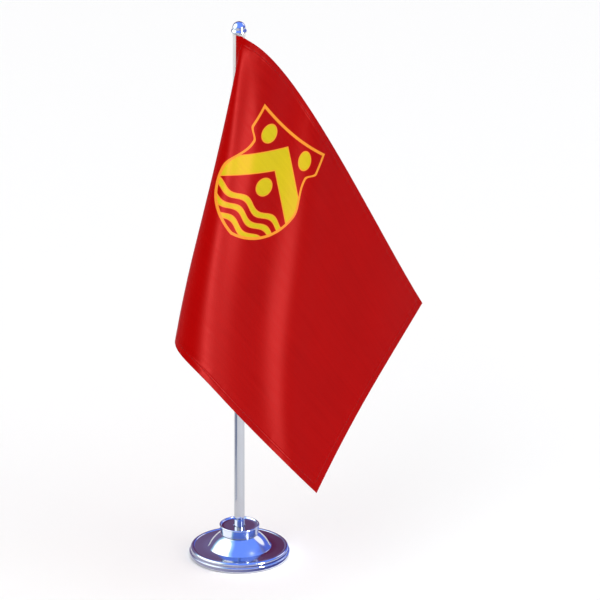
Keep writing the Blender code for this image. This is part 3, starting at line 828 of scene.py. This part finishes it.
def woven_tape(name, colour, hoist):
    """Bleached cotton tape in plain weave: matt, with a small grid of raised threads and painted shade in the
    hollows between them.
    """
    made, add = blank_finish(name)
    flat = add("UVMap", uv_map="cloth")
    in_mm = add("Mapping", {"Vector": flat, "Scale": (hoist / MM, hoist / MM, 1.0)})
    # threads are really 0.35 mm apart: drawn 0.7 mm apart
    warp = add("TexWave", {"Vector": in_mm, "Scale": WAVE_RUN / 0.7, "Distortion": 0.5}, "Fac",
               bands_direction="X")
    weft = add("TexWave", {"Vector": in_mm, "Scale": WAVE_RUN / 0.7, "Distortion": 0.5}, "Fac",
               bands_direction="Y")
    threads = add("Math", {0: warp, 1: weft}, operation="MULTIPLY")
    soil = add("TexNoise", {"Vector": in_mm, "Scale": 0.12, "Detail": 4.0}, "Fac")
    worn = add("Mix", {"Factor": soil, "A": (*colour, 1.0), "B": (*(0.86 * part for part in colour), 1.0)},
               2, data_type="RGBA")
    # painted shade: depth darkens the colour to 0.82 in the hollows between the raised threads
    depth = add("MapRange", {"Value": threads, "To Min": 0.82, "To Max": 1.0})
    toned = add("Mix", {"Factor": 1.0, "A": worn, "B": depth}, 2, data_type="RGBA", blend_type="MULTIPLY")
    bent = add("Bump", {"Strength": 0.8, "Distance": 0.08 * MM, "Height": threads})
    shader = add("BsdfPrincipled", {"Base Color": toned, "Roughness": 0.88, "Sheen Weight": 0.25,
                                    "Sheen Roughness": 0.5, "Normal": bent})
    add("OutputMaterial", {"Surface": shader})
    return made


def sewing_thread(name, colour):
    """Spun polyester thread: soft shine and a fine twist along its run."""
    made, add = blank_finish(name)
    place = add("TexCoord", out="Object")
    # the twist is really 0.1 mm long: drawn 0.3 mm long
    twist = add("TexNoise", {"Vector": place, "Scale": 3300.0, "Detail": 1.0}, "Fac")
    toned = add("Mix", {"Factor": twist, "A": (*colour, 1.0), "B": (*(0.7 * part for part in colour), 1.0)},
                2, data_type="RGBA")
    bent = add("Bump", {"Strength": 0.6, "Distance": 0.03 * MM, "Height": twist})
    shader = add("BsdfPrincipled", {"Base Color": toned, "Roughness": 0.6, "Specular IOR Level": 0.08,
                                    "Normal": bent})
    add("OutputMaterial", {"Surface": shader})
    return made


def badge_shares(add, in_mm):
    """Shares of printed yellow and printed line of a plain shield, from distances in millimetres.

    The shield's side is a circle's edge below the middle and upright above it,
    drawn in under each upper corner and cut by a hollow top. Inside it stand a
    chevron, three discs and wavy bars. Every shape is a distance that is negative
    inside, and the smallest of them is the charge's own distance.
    """
    centred = add("VectorRotate", {"Vector": in_mm, "Center": (0.0, 0.0, 0.0), "Angle": math.radians(-12.0)},
                  rotation_type="Z_AXIS")
    split = add("VectorMath", {0: centred}, operation="ABSOLUTE")
    across = add("SeparateXYZ", {0: split}, "X")
    signed_x = add("SeparateXYZ", {0: centred}, "X")
    up = add("SeparateXYZ", {0: centred}, "Y")
    fall = add("Math", {0: up, 1: 0.0}, operation="MINIMUM")
    wide = add("Math", {0: across, 1: 5.1}, operation="ADD")
    corner = add("CombineXYZ", {"X": wide, "Y": fall})
    side = add("VectorMath", {0: corner}, "Value", operation="LENGTH")
    side = add("Math", {0: side, 1: 36.5}, operation="SUBTRACT")
    ear = add("MapRange", {"Value": up, "From Min": 22.5, "From Max": 15.5},
              interpolation_type="SMOOTHSTEP")
    root = add("MapRange", {"Value": up, "From Min": -6.0, "From Max": 14.0},
               interpolation_type="SMOOTHSTEP")
    dent = add("Math", {0: ear, 1: root}, operation="MULTIPLY")
    side = add("Math", {0: dent, 1: 6.5, 2: side}, operation="MULTIPLY_ADD")
    bow = add("Math", {0: across, 1: 2.0}, operation="POWER")
    top = add("Math", {0: bow, 1: -0.0045, 2: up}, operation="MULTIPLY_ADD")
    top = add("Math", {0: top, 1: 31.5}, operation="SUBTRACT")
    shield = add("Math", {0: side, 1: top}, operation="MAXIMUM")

    ridge = add("Math", {0: across, 1: 0.72, 2: -16.0}, operation="MULTIPLY_ADD")
    ridge = add("Math", {0: up, 1: ridge}, operation="ADD")
    ridge = add("Math", {0: ridge}, operation="ABSOLUTE")
    # a chevron: 0.72 is its slope, 0.81 that slope's cosine, 6.3 half its thickness
    charge = add("Math", {0: ridge, 1: 0.81, 2: -6.3}, operation="MULTIPLY_ADD")
    for centre, radius in (((17.5, 23.5, 0.0), 5.6), ((0.0, -2.5, 0.0), 5.6)):
        disc = add("CombineXYZ", {"X": across, "Y": up})
        disc = add("VectorMath", {0: disc, 1: centre}, "Value", operation="DISTANCE")
        disc = add("Math", {0: disc, 1: radius}, operation="SUBTRACT")
        charge = add("Math", {0: charge, 1: disc}, operation="MINIMUM")
    swing = add("Math", {0: signed_x, 1: TURN / 23.0}, operation="MULTIPLY")
    swing = add("Math", {0: swing}, operation="SINE")
    bars = add("Math", {0: swing, 1: 1.7, 2: up}, operation="MULTIPLY_ADD")
    above = add("Math", {0: bars, 1: 12.0}, operation="ADD")
    bars = add("Math", {0: above, 1: 3.6}, operation="PINGPONG")
    bars = add("Math", {0: 1.7, 1: bars}, operation="SUBTRACT")
    bars = add("Math", {0: bars, 1: above}, operation="MAXIMUM")
    charge = add("Math", {0: charge, 1: bars}, operation="MINIMUM")
    charge = add("Math", {0: charge, 1: shield}, operation="MAXIMUM")

    fill = add("MapRange", {"Value": charge, "From Min": -0.12, "From Max": 0.12, "To Min": 1.0,
                            "To Max": 0.0})
    rim = add("MapRange", {"Value": charge, "From Min": -0.75, "From Max": -0.35})
    band = add("Math", {0: shield, 1: 0.85}, operation="ADD")
    band = add("Math", {0: band}, operation="ABSOLUTE")
    outline = add("MapRange", {"Value": band, "From Min": 0.72, "From Max": 0.95, "To Min": 1.0,
                               "To Max": 0.0})
    return fill, rim, outline


def dyed_satin(name, colours, flag):
    """Polyester satin, woven with long floats and dyed through, the badge printed into it.

    The floats give a broad silky shine that is stronger across the threads, and
    slubs in the yarn leave faint streaks along the fly.
    """
    made, add = blank_finish(name)
    flat = add("UVMap", uv_map="cloth")
    in_mm = add("Mapping", {"Vector": flat, "Scale": (flag.fly / MM, flag.hoist / MM, 1.0)})
    # floats are really 0.1 mm wide: drawn 0.8 mm wide
    floats = add("TexBrick", {"Vector": in_mm, "Scale": 1.0, "Brick Width": 6.0, "Row Height": 0.8,
                              "Mortar Size": 0.12, "Mortar Smooth": 1.0}, "Fac", offset=0.4)
    drawn_out = add("Mapping", {"Vector": in_mm, "Scale": (0.02, 0.55, 1.0)})
    slubs = add("TexNoise", {"Vector": drawn_out, "Scale": 1.0, "Detail": 3.0}, "Fac")
    cloud = add("TexNoise", {"Vector": in_mm, "Scale": 0.022, "Detail": 2.0}, "Fac")

    from_corner = add("VectorMath", {0: in_mm, 1: (80.4, 109.1, 0.0)}, operation="SUBTRACT")
    fill, rim, outline = badge_shares(add, from_corner)
    print_colour = add("Mix", {"Factor": rim, "A": (*colours.yellow, 1.0), "B": (*colours.orange, 1.0)}, 2,
                       data_type="RGBA")
    badge = add("Mix", {"Factor": fill, "A": (*colours.red, 1.0), "B": print_colour}, 2, data_type="RGBA")
    badge = add("Mix", {"Factor": outline, "A": badge, "B": (*colours.orange, 1.0)}, 2, data_type="RGBA")

    streak = add("MapRange", {"Value": slubs, "From Min": 0.3, "From Max": 0.7, "To Min": 0.95,
                              "To Max": 1.03})
    wash = add("MapRange", {"Value": cloud, "From Min": 0.3, "From Max": 0.7, "To Min": 0.96,
                            "To Max": 1.04})
    tone = add("Math", {0: streak, 1: wash}, operation="MULTIPLY")
    toned = add("Mix", {"Factor": 1.0, "A": badge, "B": tone}, 2, data_type="RGBA", blend_type="MULTIPLY")

    matt = add("MapRange", {"Value": slubs, "From Min": 0.3, "From Max": 0.7, "To Min": 0.36,
                            "To Max": 0.44})
    yarn = add("Math", {0: floats, 1: -0.6, 2: slubs}, operation="MULTIPLY_ADD")
    bent = add("Bump", {"Strength": 0.35, "Distance": 0.05 * MM, "Height": yarn})
    along_fly = add("Tangent", direction_type="UV_MAP", uv_map="cloth")
    shader = add("BsdfPrincipled", {"Base Color": toned, "Roughness": matt, "Anisotropic": 0.4,
                                    "Specular IOR Level": 0.06, "Specular Tint": (1.0, 0.10, 0.09, 1.0),
                                    "Normal": bent, "Tangent": along_fly})
    add("OutputMaterial", {"Surface": shader})
    return made


def backdrop_paper(name, colour):
    """Matt white backdrop paper with a barely visible grain."""
    made, add = blank_finish(name)
    place = add("TexCoord", out="Object")
    grain = add("TexNoise", {"Vector": place, "Scale": 400.0, "Detail": 3.0}, "Fac")
    bent = add("Bump", {"Strength": 0.05, "Distance": 0.1 * MM, "Height": grain})
    shader = add("BsdfPrincipled", {"Base Color": (*colour, 1.0), "Roughness": 0.95,
                                    "Specular IOR Level": 0.1, "Normal": bent})
    add("OutputMaterial", {"Surface": shader})
    return made


def studio_walls(name):
    """Light that only shiny things see: wine and violet walls behind, blue overhead
    and behind at the right, with a small window there and a white lamp at the left."""
    made, add = blank_finish(name)
    place = add("TexCoord", out="Object")
    way = add("VectorMath", {0: place}, operation="NORMALIZE")
    height = add("SeparateXYZ", {0: way}, "Z")
    sideways = add("SeparateXYZ", {0: way}, "X")
    back = add("SeparateXYZ", {0: way}, "Y")
    behind = add("MapRange", {"Value": back, "From Min": 0.05, "From Max": 0.5},
                 interpolation_type="SMOOTHSTEP")
    sky = add("Math", {0: behind, 1: -0.30, 2: height}, operation="MULTIPLY_ADD")
    sky = add("MapRange", {"Value": sky, "From Min": 0.28, "From Max": 0.60},
              interpolation_type="SMOOTHSTEP")
    aside = add("MapRange", {"Value": sideways, "From Min": 0.20, "From Max": 0.38},
                interpolation_type="SMOOTHSTEP")
    aside = add("Math", {0: aside, 1: behind}, operation="MULTIPLY")
    sky = add("Math", {0: sky, 1: aside}, operation="MAXIMUM")
    right = add("MapRange", {"Value": sideways, "From Min": -0.10, "From Max": 0.08},
                interpolation_type="SMOOTHSTEP")
    lamp = add("VectorMath", {0: way, 1: (-0.80, -0.02, 0.60)}, "Value", operation="DOT_PRODUCT")
    glow = add("MapRange", {"Value": lamp, "From Min": 0.72, "From Max": 0.88},
               interpolation_type="SMOOTHSTEP")
    lamp = add("MapRange", {"Value": lamp, "From Min": 0.83, "From Max": 0.91},
               interpolation_type="SMOOTHSTEP")
    window = add("VectorMath", {0: way, 1: (0.63, 0.56, 0.54)}, "Value", operation="DOT_PRODUCT")
    window = add("MapRange", {"Value": window, "From Min": 0.965, "From Max": 0.985},
                 interpolation_type="SMOOTHSTEP")
    front = add("Mix", {"Factor": right, "A": (0.85, 0.88, 0.95, 1.0), "B": (0.34, 0.40, 0.72, 1.0)}, 2,
                data_type="RGBA")
    wine = add("Mix", {"Factor": right, "A": (0.27, 0.21, 0.42, 1.0), "B": (0.15, 0.03, 0.10, 1.0)}, 2,
               data_type="RGBA")
    tone = add("Mix", {"Factor": behind, "A": front, "B": wine}, 2, data_type="RGBA")
    deep = add("MapRange", {"Value": height, "From Min": 0.34, "From Max": 0.75},
               interpolation_type="SMOOTHSTEP")
    blue = add("Mix", {"Factor": deep, "A": (0.16, 0.26, 1.05, 1.0), "B": (0.27, 0.52, 1.75, 1.0)}, 2,
               data_type="RGBA")
    tone = add("Mix", {"Factor": sky, "A": tone, "B": blue}, 2, data_type="RGBA")
    tone = add("Mix", {"Factor": glow, "A": tone, "B": (0.75, 1.35, 1.70, 1.0)}, 2, data_type="RGBA")
    tone = add("Mix", {"Factor": window, "A": tone, "B": (1.6, 1.6, 1.8, 1.0)}, 2, data_type="RGBA")
    tone = add("Mix", {"Factor": lamp, "A": tone, "B": (3.0, 3.0, 3.0, 1.0)}, 2, data_type="RGBA")
    light = add("Emission", {"Color": tone, "Strength": 1.0})
    add("OutputMaterial", {"Surface": light})
    return made


def reflection_card(name, left, right, start, end):
    """A coloured card that only shiny things see: its left colour up to start, its right one from end on."""
    made, add = blank_finish(name)
    place = add("TexCoord", out="Object")
    sideways = add("SeparateXYZ", {0: place}, "X")
    share = add("MapRange", {"Value": sideways, "From Min": start, "From Max": end},
                interpolation_type="SMOOTHSTEP")
    tone = add("Mix", {"Factor": share, "A": (*left, 1.0), "B": (*right, 1.0)}, 2, data_type="RGBA")
    light = add("Emission", {"Color": tone, "Strength": 1.0})
    add("OutputMaterial", {"Surface": light})
    return made


def seen_by_shine_only(made):
    """A stage piece that shows only in reflections."""
    made.visible_camera = False
    made.visible_diffuse = False
    made.visible_shadow = False
    made.visible_transmission = False


def finishes(settings):
    """Every finish of the stand, made once and found again by its name."""
    colours = settings.colours
    if "bright chrome plate" not in bpy.data.materials:
        plated_metal("bright chrome plate", colours.chrome, 0.05, 0.05, 0.012 * MM, 0.02)
        plated_metal("zinc plated steel", colours.steel, 0.26, 0.14, 0.02 * MM, 0.10)
        painted_iron("painted cast iron", colours.iron)
        turned_metal("turned brass", colours.brass, 0.24, 0.4 * MM)
        foam_rubber("black foam rubber", colours.pad)
        woven_tape("bleached cotton tape", colours.tape, settings.flag.hoist)
        sewing_thread("red polyester thread", colours.thread)
        dyed_satin("dyed polyester satin", colours, settings.flag)
    return bpy.data.materials


# Stage ------------------------------------------------------------------------

def lay_paper(colours):
    """The matt white paper under the stand."""
    half = 12.0
    floor = new_piece("paper_floor", np.array([(-half, -half, 0.0), (half, -half, 0.0), (half, half, 0.0),
                                               (-half, half, 0.0)]), [(0, 1, 2, 3)],
                      backdrop_paper("matt white paper", colours.paper))


def hang_walls():
    """A dome round the stand that only mirror-like surfaces see."""
    rise, turn = np.meshgrid(np.radians(np.linspace(1.0, 89.5, 16)), np.linspace(0.0, TURN, 48),
                             indexing="ij")
    dome = 1.6 * np.stack([np.cos(rise) * np.cos(turn), np.cos(rise) * np.sin(turn), np.sin(rise)], axis=-1)
    index = np.arange(dome.shape[0] * dome.shape[1]).reshape(dome.shape[:2])
    walls = new_piece("studio_walls", dome.reshape(-1, 3), quads_of(index).tolist(),
                      studio_walls("studio walls"))
    seen_by_shine_only(walls)


def lay_cards():
    """Two rings on the paper, which the lip and the collar's side reflect, and a card beside the pole."""
    above_paper = 0.02 * MM
    steps = 64
    for name, inner, outer, left, right in (
            ("lip_card", 34.0, 41.0, (0.60, 0.58, 0.75), (0.10, 0.12, 0.45)),
            ("collar_card", 43.0, 51.0, (1.20, 1.25, 1.50), (0.26, 0.46, 1.40))):
        turn = np.linspace(0.0, TURN, steps, endpoint=False)
        way = np.stack([np.cos(turn), np.sin(turn), 0.0 * turn], axis=-1)
        ring = np.stack([inner * way, outer * way]) * MM
        ring[..., 2] = above_paper
        faces = quads_of(np.arange(2 * steps).reshape(2, steps), wrap=True).tolist()
        finish = reflection_card(name.replace("_", " "), left, right, -30.0 * MM, 30.0 * MM)
        card = new_piece(name, ring.reshape(-1, 3), faces, finish)
        seen_by_shine_only(card)
    steps = 20
    turn, reach = np.meshgrid(np.radians(np.linspace(166.0, 222.0, steps)), np.array([0.075, 0.6]),
                              indexing="ij")
    sector = np.stack([reach * np.cos(turn), reach * np.sin(turn), 0.0 * reach + above_paper], axis=-1)
    finish = reflection_card("pole card", (0.30, 0.34, 0.47), (0.64, 0.67, 0.75), -0.15, -0.10)
    faces = quads_of(np.arange(2 * steps).reshape(steps, 2)).tolist()
    card = new_piece("pole_card", sector.reshape(-1, 3), faces, finish)
    seen_by_shine_only(card)


def light_surround(scene, stage):
    """An even white surround."""
    scene.world = bpy.data.worlds.new("white surround")
    scene.world.use_nodes = True
    sky = scene.world.node_tree.nodes["Background"]
    sky.inputs["Color"].default_value = (1.0, 1.0, 1.0, 1.0)
    sky.inputs["Strength"].default_value = stage.sky


def hang_lights(scene, stage):
    """Two softboxes, and a strip that only shine sees."""
    aim = Vector((0.03, 0.0, 0.18))
    for name, place, power, width, height, on_matt in (
            ("front softbox", (-0.9, -1.6, 1.9), stage.key, 1.6, 1.2, True),
            ("side softbox", (1.5, -0.8, 0.9), stage.strip, 0.6, 1.4, True),
            ("satin strip", (1.15, -0.90, 0.60), stage.gloss, 0.25, 0.9, False)):
        lamp = bpy.data.lights.new(name, "AREA")
        lamp.shape = "RECTANGLE"
        lamp.size, lamp.size_y, lamp.energy = width, height, power
        holder = bpy.data.objects.new(name, lamp)
        holder.location = place
        holder.rotation_euler = (aim - Vector(place)).to_track_quat("-Z", "Y").to_euler()
        holder.visible_camera = False
        holder.visible_diffuse = on_matt
        scene.collection.objects.link(holder)


def set_camera(scene, stage):
    """A long lens that looks down at the stand."""
    camera = bpy.data.objects.new("camera", bpy.data.cameras.new("camera"))
    camera.data.lens = stage.lens
    camera.data.sensor_width = 36.0
    back = Vector((math.sin(stage.bearing) * math.cos(stage.elevation),
                   -math.cos(stage.bearing) * math.cos(stage.elevation), math.sin(stage.elevation)))
    middle = Vector(stage.aim)
    camera.location = middle + back * stage.width * stage.lens / camera.data.sensor_width
    camera.rotation_euler = (-back).to_track_quat("-Z", "Y").to_euler()
    camera.data.clip_end = 60.0
    scene.collection.objects.link(camera)
    scene.camera = camera
    scene.view_settings.view_transform = "Standard"


# Operators --------------------------------------------------------------------

def settle(made, body, slot, *nodes):
    """Joins a finished piece to the frame: its body and the nodes that it stands for, which are hidden. slot
    is not used.
    """
    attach(made, body)
    if nodes:
        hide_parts(*nodes)
    return made


class STAND_OT_foot(Operator):
    """Make the pressed foot and the turned collar"""
    bl_idname = "stand.foot"
    bl_label = "Foot and collar"

    def execute(self, context):
        settings = context.scene.flag_stand
        chrome = finishes(settings)["bright chrome plate"]
        skin = turned_piece("foot_skin", foot_outline(settings.foot), chrome, settings.round_steps)
        settle(skin, "base", "chrome_plate", "base_shell")
        collar = turned_piece("collar_turning", collar_outline(settings.foot), chrome, settings.round_steps)
        settle(collar, "base", "chrome_plate", "collar_cup")
        return {"FINISHED"}


class STAND_OT_pole(Operator):
    """Make the drawn pole and the domed cap"""
    bl_idname = "stand.pole"
    bl_label = "Pole and cap"

    def execute(self, context):
        settings = context.scene.flag_stand
        chrome = finishes(settings)["bright chrome plate"]
        tube = turned_piece("pole_drawn", tube_outline(settings.pole), chrome, settings.round_steps)
        settle(tube, "pole", "chrome_plate", "pole_tube")
        cap = turned_piece("cap_dome", cap_outline(settings.pole), chrome, settings.round_steps)
        settle(cap, "finial", "chrome_plate", "finial_cap")
        return {"FINISHED"}


class STAND_OT_flag(Operator):
    """Make the satin flag and the stitches in its hems"""
    bl_idname = "stand.flag"
    bl_label = "Flag and hems"

    def execute(self, context):
        settings = context.scene.flag_stand
        flag, made = settings.flag, finishes(settings)
        cloth = settle(flag_cloth(settings, made["dyed polyester satin"]), "flag", "flag_satin", "flag_panel")
        sewn = stitches("hem_stitching", *hem_stitch_rows(settings), flag.stitch, flag.thread,
                        made["red polyester thread"])
        settle(sewn, "flag", "flag_satin")
        for shown in (cloth, sewn):
            shown.visible_glossy = False   # the foot mirrors the studio's walls alone
        return {"FINISHED"}


class STAND_OT_sleeve(Operator):
    """Make the tape sleeve round the pole and its two rows of stitches"""
    bl_idname = "stand.sleeve"
    bl_label = "Sleeve tape"

    def execute(self, context):
        settings = context.scene.flag_stand
        flag, made = settings.flag, finishes(settings)
        tape, width = sleeve_tape(settings, made["bleached cotton tape"])
        settle(tape, "flag", "sleeve_tape", "hoist_sleeve")
        sewn = stitches("tape_stitching", *tape_stitch_rows(settings), flag.stitch, flag.thread,
                        made["red polyester thread"])
        settle(sewn, "flag", "sleeve_tape")
        return {"FINISHED"}


class STAND_OT_fittings(Operator):
    """Give the weight, the fasteners, the plugs, the stem and the pad their finishes"""
    bl_idname = "stand.fittings"
    bl_label = "Fittings"

    def execute(self, context):
        made = finishes(context.scene.flag_stand)
        wanted = {
            "ballast_disc": "painted cast iron", "threaded_socket": "zinc plated steel",
            "plain_washer": "zinc plated steel", "hex_nut": "zinc plated steel",
            "pole_foot_plug": "zinc plated steel", "finial_stem": "zinc plated steel",
            "pole_top_plug": "turned brass", "foot_pad": "black foam rubber",
        }
        for node, finish in wanted.items():
            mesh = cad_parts[node].data
            mesh.materials.clear()
            mesh.materials.append(made[finish])
        return {"FINISHED"}


class STAND_OT_stage(Operator):
    """Lay the paper, hang the lights and set the camera"""
    bl_idname = "stand.stage"
    bl_label = "Stage"

    def execute(self, context):
        scene = context.scene
        stage, colours = scene.flag_stand.stage, scene.flag_stand.colours
        lay_paper(colours)
        hang_walls()
        lay_cards()
        light_surround(scene, stage)
        hang_lights(scene, stage)
        set_camera(scene, stage)
        return {"FINISHED"}


class STAND_PT_panel(Panel):
    """Sidebar panel with the stand's sizes and the operators that make it"""
    bl_idname = "STAND_PT_panel"
    bl_label = "Desk Flag Stand"
    bl_space_type = "VIEW_3D"
    bl_region_type = "UI"
    bl_category = "Flag Stand"

    def draw(self, context):
        settings = context.scene.flag_stand
        self.layout.prop(settings, "round_steps")
        for title, group in (("Foot and collar", settings.foot), ("Pole and cap", settings.pole),
                             ("Flag", settings.flag), ("How it hangs", settings.hanging),
                             ("Colours", settings.colours), ("Stage", settings.stage)):
            box = self.layout.box()
            box.label(text=title)
            for name in group.__annotations__:
                box.prop(group, name)
        for maker in MAKERS:
            self.layout.operator(maker.bl_idname)


MAKERS = (STAND_OT_foot, STAND_OT_pole, STAND_OT_sleeve, STAND_OT_flag, STAND_OT_fittings, STAND_OT_stage)
CLASSES = (FootSizes, PoleSizes, FlagSizes, HangingShape, FinishColours, StageSettings, FlagStandSettings,
           *MAKERS, STAND_PT_panel)


def register():
    for entry in CLASSES:
        bpy.utils.register_class(entry)
    bpy.types.Scene.flag_stand = PointerProperty(type=FlagStandSettings)


def unregister():
    del bpy.types.Scene.flag_stand
    for entry in reversed(CLASSES):
        bpy.utils.unregister_class(entry)


def main():
    """Registers the add-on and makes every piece."""
    register()
    for maker in MAKERS:
        group, name = maker.bl_idname.split(".")
        getattr(getattr(bpy.ops, group), name)()


if __name__ == "__main__":
    main()
